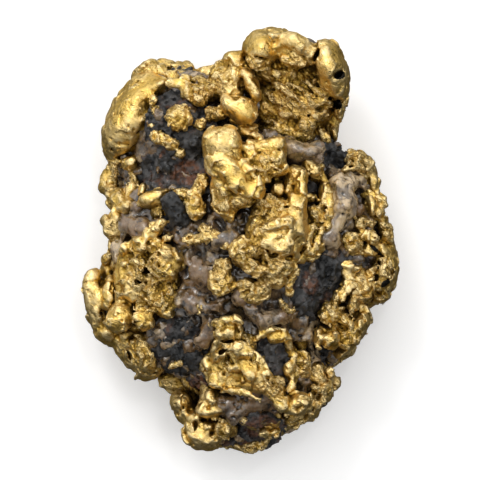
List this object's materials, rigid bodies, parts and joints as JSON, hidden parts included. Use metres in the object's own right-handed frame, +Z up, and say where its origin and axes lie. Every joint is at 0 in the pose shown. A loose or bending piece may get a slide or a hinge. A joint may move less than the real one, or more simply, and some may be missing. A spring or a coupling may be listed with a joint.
{
  "type": "gold ore specimen",
  "caption": "Lumpy native gold grown through smoky quartz and dark ironstone, lying on its broken back.",
  "frame": {"origin": "on the resting surface, under the middle of the specimen's outline", "axes": "+Z up from the resting face towards the show face, +Y along the length towards the crown nugget, +X to the right across it"},
  "size_m": [0.0478, 0.0644, 0.0302],
  "materials": {
    "native_gold": "satin to bright natural gold, hammered and pitted, with brown dirt in its hollows",
    "smoky_quartz": "glossy grey-brown quartz in rounded grains, a little light passing through its skin",
    "ironstone": "flaky blue-black ironstone with rust patches and small glints"
  },
  "bodies": {
    "root": {"gold_ore_specimen": "native_gold"}
  },
  "joints": []
}
